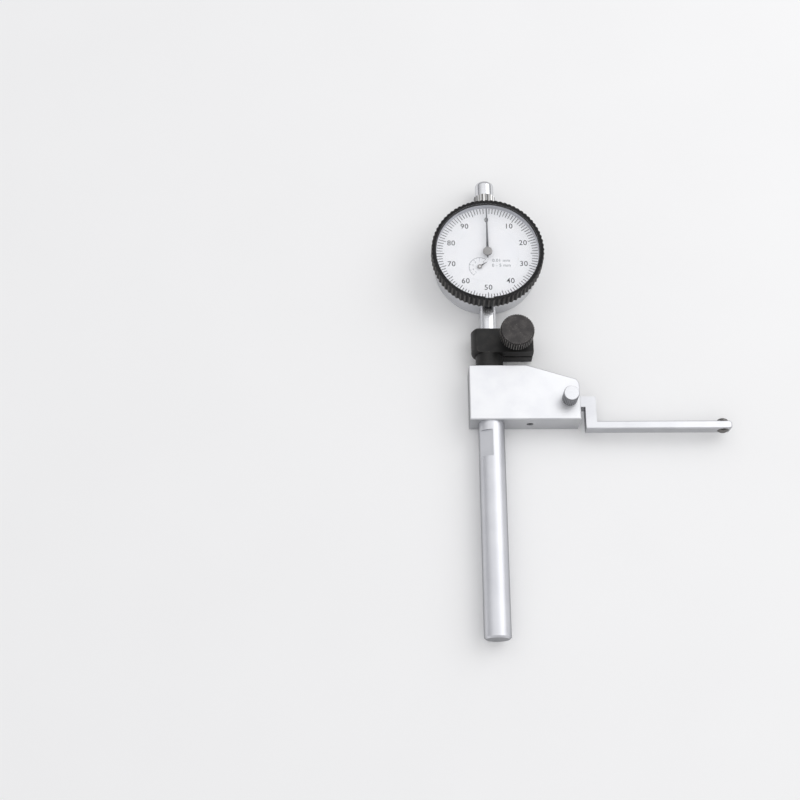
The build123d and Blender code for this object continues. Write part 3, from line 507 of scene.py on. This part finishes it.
@dataclass(frozen=True)
class Oxide(Finish):
    """Black oxide on steel, rubbed through to grey on edges and in specks."""

    colour: Colour = paint_colour(30, 30, 30)
    faded: Colour = paint_colour(54, 52, 51)
    bare: Colour = paint_colour(132, 128, 124)
    valley: Colour = paint_colour(12, 11, 11)
    metal: float = 0.65
    roughness: float = 0.46
    spread: float = 0.2
    depth: float = 0.01
    lay: Lay = Lay.EVEN
    axis: Axis = Axis.Z
    centre: Point = (0.0, 0.0, 0.0)
    pitch: float = 0.2
    edge: float = 0.3
    cloud: float = 3.5
    clouded: Span = (0.38, 0.68)
    fade: float = 0.35
    speck: float = 0.28
    specked: Span = (0.6, 0.74)
    speck_patches: Span = (0.3, 0.6)
    speck_cover: float = 0.4
    rub: float = 0.6
    rubbed: Span = (0.36, 0.58)
    knurl: Span | None = None
    crest: float = 0.6
    valley_cover: float = 0.8
    bore: float = 0.0
    bore_blend: float = 0.05
    bore_colour: Colour = paint_colour(196, 197, 203)

    def material(self) -> bpy.types.Material:
        """Makes the material: a mottled black coat with grey specks and rubbed edges."""
        broad, fine = 0.6, 0.4
        shader = Shader(self.name)
        place = shader.place()
        marks = shader.marks(self.lay, self.axis, self.centre, self.pitch)
        cloud = shader.noise(place, self.cloud, detail=5.0)
        grit = shader.noise(place, self.speck, detail=3.0)
        specks = grit.rise(*self.specked) * cloud.rise(*self.speck_patches)
        rubbed = shader.edges(self.edge) * (cloud * broad + grit * fine).rise(*self.rubbed)
        coat = shader.mix(cloud.rise(*self.clouded) * self.fade, self.colour, self.faded)
        coat = shader.mix(specks * self.speck_cover, coat, self.bare)
        if self.knurl:
            side, ridge = shader.side(self.axis, self.centre, self.knurl)
            coat = shader.mix(side * (1 - ridge) * self.valley_cover, coat, self.valley)
            coat = shader.mix(side * ridge.rise(self.crest, 1.0) * self.rub, coat, self.bare)
        if self.bore:
            radius, _ = shader.from_axis(self.axis, self.centre)
            inside = 1 - radius.rise(self.bore, self.bore + self.bore_blend)
            coat = shader.mix(inside * shader.upright(self.axis), coat, self.bore_colour)
        coat = shader.mix(rubbed * self.rub, coat, self.bare)
        roughness = self.roughness + (marks - 0.5) * self.spread
        return shader.finish(
            Base_Color=coat,
            Metallic=self.metal,
            Roughness=roughness + (cloud - 0.5) * self.spread,
            Normal=shader.bump(marks * broad + grit * fine, self.depth),
        )


@dataclass(frozen=True)
class Lacquer(Finish):
    """Smooth painted metal, such as the dial's white plate."""

    colour: Colour = paint_colour(251, 251, 253)
    tired: Colour = paint_colour(246, 247, 250)
    roughness: float = 0.45
    spread: float = 0.1
    cloud: float = 8.0
    clouded: Span = (0.2, 0.8)
    peel: float = 0.35
    depth: float = 0.001

    def material(self) -> bpy.types.Material:
        """Makes the material: an even coat with a faint orange-peel relief."""
        shader = Shader(self.name)
        place = shader.place()
        cloud = shader.noise(place, self.cloud, detail=3.0)
        peel = shader.noise(place, self.peel)
        return shader.finish(
            Base_Color=shader.mix(cloud.rise(*self.clouded), self.tired, self.colour),
            Roughness=self.roughness + (peel - 0.5) * self.spread,
            Normal=shader.bump(peel, self.depth),
        )


@dataclass(frozen=True)
class Ink(Finish):
    """Printed lines and figures, a little uneven in their cover."""

    colour: Colour = paint_colour(30, 31, 35)
    thin: Colour = paint_colour(56, 58, 64)
    patch: float = 0.7
    patched: Span = (0.45, 0.7)
    roughness: float = 0.55
    spread: float = 0.2
    depth: float = 0.003

    def material(self) -> bpy.types.Material:
        """Makes the material: dense ink with thinner patches."""
        shader = Shader(self.name)
        cover = shader.noise(shader.place(), self.patch, detail=3.0)
        return shader.finish(
            Base_Color=shader.mix(cover.rise(*self.patched), self.colour, self.thin),
            Roughness=self.roughness + (cover - 0.5) * self.spread,
            Normal=shader.bump(cover, self.depth),
        )


@dataclass(frozen=True)
class Hand(Finish):
    """A dark blade with a pale round boss, told apart by the distance from its arbor."""

    centre: Point = (0.0, 0.0, 0.0)
    boss_radius: float = 2.25
    blade: Colour = paint_colour(52, 52, 56)
    tip: Colour = paint_colour(96, 97, 102)
    tip_from: float = 8.0
    boss: Colour = paint_colour(178, 176, 175)
    boss_ring: Colour = paint_colour(104, 102, 100)
    boss_blend: float = 0.04
    ring_rate: float = 9.0
    pitch: float = 0.12
    depth: float = 0.004
    roughness: float = 0.32
    spread: float = 0.2

    def material(self) -> bpy.types.Material:
        """Makes the material: satin metal in the middle and black lacquer along the blade."""
        shader = Shader(self.name)
        radius, _ = shader.from_axis(Axis.Z, self.centre)
        marks = shader.marks(Lay.ROUND, Axis.Z, self.centre, self.pitch)
        on_blade = radius.rise(self.boss_radius, self.boss_radius + self.boss_blend)
        rings = radius.math("SINE", radius * self.ring_rate) * 0.5 + 0.5
        disc = shader.mix(rings * 0.5 + marks * 0.3, self.boss, self.boss_ring)
        far = radius.rise(self.tip_from * 0.5, self.tip_from)
        return shader.finish(
            Base_Color=shader.mix(on_blade, disc, shader.mix(far, self.blade, self.tip)),
            Metallic=1 - on_blade,
            Roughness=self.roughness + marks * self.spread,
            Normal=shader.bump(marks, self.depth),
        )


@dataclass(frozen=True)
class Clear(Finish):
    """The clear watch glass: see-through face on, and glossier where it is seen edge on."""

    tint: Colour = paint_colour(238, 243, 250)
    cover: float = 0.03
    rim_cover: float = 0.25
    haze: float = 6.0
    roughness: float = 0.05
    spread: float = 0.03

    def material(self) -> bpy.types.Material:
        """Makes the material: a nearly clear coat with faint fine scratches."""
        shader = Shader(self.name)
        haze = shader.noise(shader.place(), self.haze, detail=3.0)
        facing = shader.node("ShaderNodeLayerWeight", sockets={"Blend": 0.25}, output="Facing")
        alpha = self.cover * (0.8 + haze * 0.4) + facing * self.rim_cover
        return shader.finish(
            Base_Color=shader.mix(haze, self.tint, (1.0, 1.0, 1.0)),
            Alpha=alpha,
            Roughness=self.roughness + (haze - 0.5) * self.spread,
        )


def dress(node: str, finish: Finish) -> None:
    """Gives a CAD node its finish.

    Args:
        node: The node's name.
        finish: The finish.
    """
    material = finish.material()
    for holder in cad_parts[node].material_slots:
        holder.material = material
    log.info("dressed %s as %s", node, finish.name)


@dataclass
class Mesh:
    """A piece under construction, in millimetres."""

    name: str
    work: bmesh.types.BMesh = field(default_factory=bmesh.new)

    def plate(self, outline: Sequence[Spot], low: float, high: float) -> None:
        """Adds a flat plate.

        Args:
            outline: Its corners, anticlockwise as seen from +Z.
            low: The height of its back.
            high: The height of its front.
        """
        back = [self.work.verts.new((x, y, low)) for x, y in outline]
        front = [self.work.verts.new((x, y, high)) for x, y in outline]
        self.work.faces.new(reversed(back))
        self.work.faces.new(front)
        count = len(outline)
        for start in range(count):
            end = (start + 1) % count
            self.work.faces.new((back[start], back[end], front[end], front[start]))

    def piece(self, body: str, finish: Finish) -> None:
        """Makes the Blender object and says what it rides on.

        Args:
            body: The CAD body that it moves with.
            finish: Its finish.
        """
        self.work.transform(Matrix.Scale(MM, 4))
        bmesh.ops.recalc_face_normals(self.work, faces=self.work.faces)
        data = bpy.data.meshes.new(self.name)
        self.work.to_mesh(data)
        self.work.free()
        data.materials.append(finish.material())
        made = bpy.data.objects.new(self.name, data)
        bpy.context.scene.collection.objects.link(made)
        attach(made, body)
        log.info("made %s with %d faces", self.name, len(data.polygons))


@dataclass(frozen=True)
class Lettering:
    """Plain printed figures, made as thin plates from Blender's own typeface."""

    height: float = 2.75
    stroke: float = 0.006
    spread: float = 1.08

    def add(self, mesh: Mesh, text: str, centre: Spot, low: float, high: float) -> None:
        """Adds a line of figures to a mesh.

        Args:
            mesh: The piece that they belong to.
            text: The figures.
            centre: The middle of the line.
            low: The height of the print's back.
            high: The height of its front.
        """
        capital, resolution = 0.73, 5
        curve = bpy.data.curves.new("figures", "FONT")
        curve.body = text
        curve.align_x = "CENTER"
        curve.align_y = "CENTER"
        curve.size = 1.0
        curve.offset = self.stroke
        curve.space_character = self.spread
        curve.extrude = 0.5
        curve.resolution_u = resolution
        holder = bpy.data.objects.new("figures", curve)
        data = bpy.data.meshes.new_from_object(holder)
        size = self.height / capital
        middle = (low + high) / 2
        data.transform(
            Matrix.Translation((*centre, middle)) @ Matrix.Diagonal((size, size, high - low, 1.0))
        )
        mesh.work.from_mesh(data)
        bpy.data.objects.remove(holder)
        bpy.data.curves.remove(curve)
        bpy.data.meshes.remove(data)


def around(centre: Spot, radius: float, turn: float) -> Spot:
    """A point on a circle.

    Args:
        centre: The circle's centre.
        radius: Its radius.
        turn: Degrees clockwise from +Y.

    Returns:
        The point.
    """
    angle = math.radians(turn)
    return centre[0] + radius * math.sin(angle), centre[1] + radius * math.cos(angle)


@dataclass(frozen=True)
class Face:
    """The dial's print: graduations and figures on the ring, and the turns scale."""

    centre: Spot = hub("bezel")[:2]
    surface: float = top("dial_ring")
    sunk: float = 0.01
    proud: float = 0.02
    lines: int = 100
    longer_every: int = 5
    line_width: float = 0.3
    line_outer: float = 24.3
    line_inner: float = 21.5
    fifth_inner: float = 20.7
    figure_radius: float = 18.1
    figure_step: int = 10
    figure_print: Lettering = Lettering()
    counter_centre: Spot = hub("counter_wheel")[:2]
    counter_radius: float = 5.1
    counter_width: float = 0.16
    counter_start: float = 35.0
    counter_turns: int = 5
    counter_lines: int = 10
    counter_line: float = 0.9
    counter_figures: float = 3.35
    counter_print: Lettering = Lettering(height=0.95, stroke=-0.005)
    arc_steps: int = 48
    turn_degrees: float = 36.0
    unit_lines: tuple[str, str] = ("0.01 mm", "0 - 5 mm")
    unit_centre: Spot = (6.5, 178.8)
    unit_drop: float = 2.6
    unit_print: Lettering = Lettering(height=1.65, stroke=-0.002)
    ink: Ink = Ink("dial_ink")
    faint: Ink = Ink("faint_ink", paint_colour(92, 94, 104), paint_colour(128, 130, 138))

    @property
    def levels(self) -> Span:
        """The heights of the print's back and front."""
        return self.surface - self.sunk, self.surface + self.proud

    def _line(self, mesh: Mesh, centre: Spot, radii: Span, turn: float, width: float) -> None:
        """Adds one radial line.

        Args:
            mesh: The print that it belongs to.
            centre: The centre that it points at.
            radii: Its inner and outer ends.
            turn: Degrees clockwise from +Y.
            width: Its width.
        """
        inner, outer = (around(centre, radius, turn) for radius in radii)
        across = around((0.0, 0.0), width / 2, turn + 90)
        outline = [
            (inner[0] - across[0], inner[1] - across[1]),
            (inner[0] + across[0], inner[1] + across[1]),
            (outer[0] + across[0], outer[1] + across[1]),
            (outer[0] - across[0], outer[1] - across[1]),
        ]
        mesh.plate(outline, *self.levels)

    def graduations(self) -> None:
        """Makes the hundred lines on the turning ring, every fifth one longer."""
        mesh = Mesh("dial_graduations")
        for number in range(self.lines):
            inner = self.line_inner if number % self.longer_every else self.fifth_inner
            turn = 360 * number / self.lines
            self._line(mesh, self.centre, (inner, self.line_outer), turn, self.line_width)
        mesh.piece("bezel", self.ink)

    def figures(self) -> None:
        """Makes the figures 0 to 90, upright, clockwise round the ring."""
        mesh = Mesh("dial_figures")
        for number in range(0, self.lines, self.figure_step):
            centre = around(self.centre, self.figure_radius, 360 * number / self.lines)
            self.figure_print.add(mesh, str(number), centre, *self.levels)
        mesh.piece("bezel", self.ink)

    def counter_scale(self) -> None:
        """Makes the arc, lines and small figures of the turns scale on the fixed centre."""
        mesh = Mesh("counter_scale")
        span = self.turn_degrees * self.counter_turns
        step = span / self.counter_lines
        half = self.counter_width / 2
        merged = 1e-5
        places = range(self.arc_steps + 1)
        turns = [self.counter_start - span * place / self.arc_steps for place in places]
        rim = [around(self.counter_centre, self.counter_radius + half, turn) for turn in turns]
        inside = [around(self.counter_centre, self.counter_radius - half, turn) for turn in turns]
        for start in range(self.arc_steps):
            end = start + 1
            mesh.plate([rim[start], rim[end], inside[end], inside[start]], *self.levels)
        bmesh.ops.remove_doubles(mesh.work, verts=mesh.work.verts, dist=merged)
        for number in range(self.counter_lines + 1):
            turn = self.counter_start - step * number
            whole = number % 2 == 0
            length = self.counter_line if whole else self.counter_line / 2
            radii = (self.counter_radius - length, self.counter_radius)
            self._line(mesh, self.counter_centre, radii, turn, self.counter_width)
            if whole:
                centre = around(self.counter_centre, self.counter_figures, turn)
                self.counter_print.add(mesh, str(number // 2), centre, *self.levels)
        mesh.piece("dial", self.faint)

    def unit(self) -> None:
        """Makes the small print: what one graduation stands for, and the range under it."""
        mesh = Mesh("graduation_value")
        across, along = self.unit_centre
        for row, text in enumerate(self.unit_lines):
            centre = (across, along - row * self.unit_drop)
            self.unit_print.add(mesh, text, centre, *self.levels)
        mesh.piece("dial", self.faint)

    def build(self) -> None:
        """Makes every printed piece and paints the plates under them."""
        dress("dial_centre", Lacquer("white_centre"))
        dress("dial_ring", Lacquer("white_ring"))
        self.graduations()
        self.figures()
        self.counter_scale()
        self.unit()


@dataclass(frozen=True)
class Stock:
    """The block, its shank and screws, and the feeler arm."""

    pivot: Point = hub("pivot_screw")
    pivot_knurl: Span = ridges("pivot_screw", 0.3)

    def build(self) -> None:
        # Each steel finish here has painted shade: its metal is darkened where it is seen edge
        # on.
        """Dresses each part of the stock."""
        dress(
            "housing_block",
            Steel(
                "satin_chrome_block",
                paint_colour(240, 241, 243),
                paint_colour(229, 230, 234),
                roughness=0.4,
                pitch=0.1,
                limb=0.8,
            ),
        )
        dress(
            "shank",
            Steel(
                "ground_shank",
                paint_colour(226, 227, 231),
                paint_colour(216, 217, 222),
                roughness=0.46,
                lay=Lay.ROUND,
                axis=Axis.Y,
                pitch=0.1,
                limb=0.85,
            ),
        )
        dress(
            "feeler_arm",
            Steel(
                "satin_chrome_arm",
                paint_colour(224, 225, 228),
                paint_colour(212, 213, 217),
                roughness=0.4,
                lay=Lay.ALONG,
                axis=Axis.X,
                pitch=0.08,
                limb=0.7,
            ),
        )
        # Painted shade: the polished tip is darkened nearly to black where it is seen edge on.
        dress(
            "feeler_tip",
            Steel(
                "polished_tip",
                paint_colour(120, 118, 116),
                paint_colour(84, 82, 81),
                roughness=0.16,
                limb=0.9,
                limb_colour=paint_colour(30, 29, 28),
            ),
        )
        dress(
            "pivot_screw",
            Steel(
                "knurled_pivot",
                roughness=0.26,
                lay=Lay.ROUND,
                centre=self.pivot,
                edge=0.12,
                # Painted shade with dirt: the head's knurled side is darkened nearly to black,
                # the ridges in part as well.
                knurl=self.pivot_knurl,
                crest=0.4,
                grime=paint_colour(20, 21, 23),
                limb=0.6,
            ),
        )
        dress("stop_screw", Oxide("stop_screw_black"))


@dataclass(frozen=True)
class Clamp:
    """The split clamp that holds the indicator's stem, and its thumb knob."""

    knob: Point = hub("clamp_knob")
    knob_knurl: Span = ridges("clamp_knob", 0.5)

    def build(self) -> None:
        """Dresses the clamp and the knob."""
        dress(
            "clamp_body",
            Oxide("clamp_oxide", colour=paint_colour(44, 44, 44), faded=paint_colour(66, 64, 62)),
        )
        dress(
            "clamp_knob",
            Oxide(
                "knob_oxide",
                colour=paint_colour(62, 60, 60),
                faded=paint_colour(84, 81, 80),
                bare=paint_colour(176, 172, 168),
                fade=0.7,
                lay=Lay.ROUND,
                centre=self.knob,
                edge=0.2,
                knurl=self.knob_knurl,
            ),
        )


@dataclass(frozen=True)
class Case:
    """The indicator's case, stem, cap, bezel and glass."""

    centre: Point = hub("bezel")
    bezel_knurl: Span = ridges("bezel", 0.65)
    bezel_bore: float = 24.6
    cap_knurl: Span = ridges("dust_cap", 0.35)

    def build(self) -> None:
        """Dresses the outside of the indicator."""
        turned = {"lay": Lay.ROUND, "centre": self.centre}
        dress("dial_case", Steel("chrome_case", roughness=0.14, spread=0.06, **turned))
        dress("back_cover", Steel("brushed_cover", roughness=0.3, pitch=0.2, **turned))
        dress("cover_screws", Steel("bright_screws", roughness=0.22))
        # The dust cap's knurled side is darkened by dirt in its valleys and by painted shade over
        # its ridges.
        for node, roughness, depth, knurl in (
            ("stem", 0.22, 0.016, None),
            ("upper_bush", 0.1, 0.004, None),
            ("dust_cap", 0.1, 0.004, self.cap_knurl),
        ):
            dress(
                node,
                Steel(
                    f"chrome_{node}",
                    roughness=roughness,
                    lay=Lay.ROUND,
                    axis=Axis.Y,
                    centre=self.centre,
                    depth=depth,
                    spread=0.06,
                    knurl=knurl,
                    grime=paint_colour(150, 148, 144),
                ),
            )
        dress("spindle", Steel("ground_spindle", roughness=0.2, lay=Lay.ROUND, axis=Axis.Y))
        dress("contact_point", Steel("hard_contact", roughness=0.15, lay=Lay.ROUND, axis=Axis.Y))
        dress(
            "bezel",
            Oxide(
                "bezel_black",
                colour=paint_colour(26, 26, 28),
                faded=paint_colour(40, 39, 39),
                fade=0.4,
                edge=0.15,
                lay=Lay.ROUND,
                centre=self.centre,
                rub=0.4,
                knurl=self.bezel_knurl,
                bore=self.bezel_bore,
            ),
        )
        dress("bezel_wire", Steel("spring_wire", roughness=0.25))
        dress("crystal", Clear("watch_glass"))


@dataclass(frozen=True)
class Movement:
    """The works inside the case, and the two hands on them."""

    centre: Point = hub("bezel")
    counter: Point = hub("counter_wheel")
    brass: Colour = paint_colour(214, 178, 104)
    brass_shade: Colour = paint_colour(176, 138, 72)
    plates: tuple[str, ...] = ("front_plate", "rear_bridge")
    wheels: tuple[str, ...] = ("counter_wheel", "takeup_wheel")
    arbors: tuple[str, ...] = (
        "guide_pin", "guide_block", "spring_post", "rack_pinion", "centre_pinion",
        "takeup_arbor", "hairspring_stud", "plate_pillars", "plate_screws",
        "bridge_pillars", "bridge_screws",
    )
    springs: tuple[str, ...] = ("return_spring", "hairspring")

    def build(self) -> None:
        """Dresses the works and the hands."""
        for node in self.plates:
            dress(
                node,
                Steel(f"brass_{node}", self.brass, self.brass_shade, 0.3, Lay.ALONG, Axis.X),
            )
        for node in self.wheels:
            dress(
                node,
                Steel(
                    f"brass_{node}", self.brass, self.brass_shade, 0.28, Lay.ROUND,
                    centre=self.centre,
                ),
            )
        for node in self.arbors:
            dress(node, Steel(f"steel_{node}", roughness=0.25))
        for node in self.springs:
            dress(
                node,
                Steel(
                    f"blued_{node}",
                    paint_colour(120, 128, 150),
                    paint_colour(84, 92, 116),
                    roughness=0.24,
                ),
            )
        dress("main_hand", Hand("main_hand_black", self.centre, reach("main_hand")))
        dress(
            "counter_hand",
            Hand("counter_hand_black", self.counter, boss_radius=1.1, tip_from=9.0),
        )


@dataclass(frozen=True)
class Studio:
    """A pale floor, soft light and the camera of the photograph."""

    floor_level: float = -7.1
    floor_half: float = 1500.0
    floor_colour: Colour = (0.94, 0.94, 0.94)
    floor_fade: float = 0.97
    floor_cloud: float = 60.0
    floor_roughness: float = 0.8
    target: Point = (38.0, 130.0, 0.0)
    sky_stops: tuple[tuple[float, Colour], ...] = (
        (0.0, (0.24, 0.24, 0.25)),
        (0.35, (0.5, 0.5, 0.51)),
        (0.8, (0.99, 0.99, 1.0)),
    )
    lamp_at: Point = (760.0, 480.0, 760.0)
    lamp_size: float = 950.0
    lamp_radiance: float = 1.15
    lens: float = 56.01
    sensor: float = 36.0
    clip: Span = (0.01, 10.0)
    camera_at: Point = (-40.506, -97.3, 538.2)
    pitch: float = 21.16
    yaw: float = 0.40
    roll: float = -0.60

    def floor(self) -> None:
        """Lays the pale floor under the case and the block."""
        shader = Shader("pale_floor")
        cloud = shader.noise(shader.place(), self.floor_cloud, detail=3.0)
        grey = tuple(self.floor_fade * part for part in self.floor_colour)
        material = shader.finish(
            Base_Color=shader.mix(cloud, self.floor_colour, grey),
            Roughness=self.floor_roughness,
        )
        half = self.floor_half * MM
        outline = [(-half, -half), (half, -half), (half, half), (-half, half)]
        data = bpy.data.meshes.new("floor")
        data.from_pydata([(x, y, self.floor_level * MM) for x, y in outline], [], [(0, 1, 2, 3)])
        data.materials.append(material)
        plane = bpy.data.objects.new("floor", data)
        bpy.context.scene.collection.objects.link(plane)

    def lamp(self) -> None:
        """Hangs one square soft light that faces the object. At a radiance of 1 it is white."""
        data = bpy.data.lights.new("key_light", "AREA")
        data.shape = "SQUARE"
        data.size = self.lamp_size * MM
        data.energy = self.lamp_radiance * math.pi * (self.lamp_size * MM) ** 2
        lamp = bpy.data.objects.new("key_light", data)
        lamp.location = Vector(self.lamp_at) * MM
        towards = (Vector(self.target) - Vector(self.lamp_at)).normalized()
        lamp.rotation_mode = "QUATERNION"
        lamp.rotation_quaternion = towards.to_track_quat("-Z", "Y")
        bpy.context.scene.collection.objects.link(lamp)

    def sky(self) -> None:
        """Makes the surroundings: pale overhead and darker towards the horizon."""
        world = bpy.data.worlds.new("studio")
        world.use_nodes = True
        nodes = Nodes(world.node_tree)
        towards = nodes.node("ShaderNodeTexCoord", output="Generated")
        height = nodes.parts(towards)[Axis.Z.value]
        sky = nodes.node("ShaderNodeValToRGB", {"stops": self.sky_stops}, {0: height})
        nodes.link(nodes.tree.nodes["Background"], "Color", sky)
        bpy.context.scene.world = world

    def camera(self) -> None:
        """Sets the camera at the photograph's angle."""
        data = bpy.data.cameras.new("photo_camera")
        data.lens = self.lens
        data.sensor_width = self.sensor
        data.clip_start, data.clip_end = self.clip
        camera = bpy.data.objects.new("photo_camera", data)
        pitch, yaw, roll = (math.radians(turn) for turn in (self.pitch, self.yaw, self.roll))
        tilted = Matrix(
            (
                (1, 0, 0),
                (0, math.cos(pitch), math.sin(pitch)),
                (0, -math.sin(pitch), math.cos(pitch)),
            )
        )
        to_camera = Matrix.Rotation(-roll, 3, "Z") @ tilted @ Matrix.Rotation(-yaw, 3, "Z")
        camera.matrix_world = Matrix.Translation(Vector(self.camera_at) * MM) @ (
            to_camera.transposed().to_4x4()
        )
        bpy.context.scene.collection.objects.link(camera)
        bpy.context.scene.camera = camera

    def build(self) -> None:
        """Lays out the studio."""
        self.floor()
        self.sky()
        self.lamp()
        self.camera()
        bpy.context.scene.view_settings.view_transform = "Standard"


def main() -> None:
    """Builds the looks in order."""
    logging.basicConfig(level=logging.INFO, format="%(message)s")
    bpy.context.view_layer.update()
    for part in (Stock(), Clamp(), Case(), Movement(), Face(), Studio()):
        log.info("building %s", type(part).__name__)
        part.build()


if __name__ == "__main__":
    main()
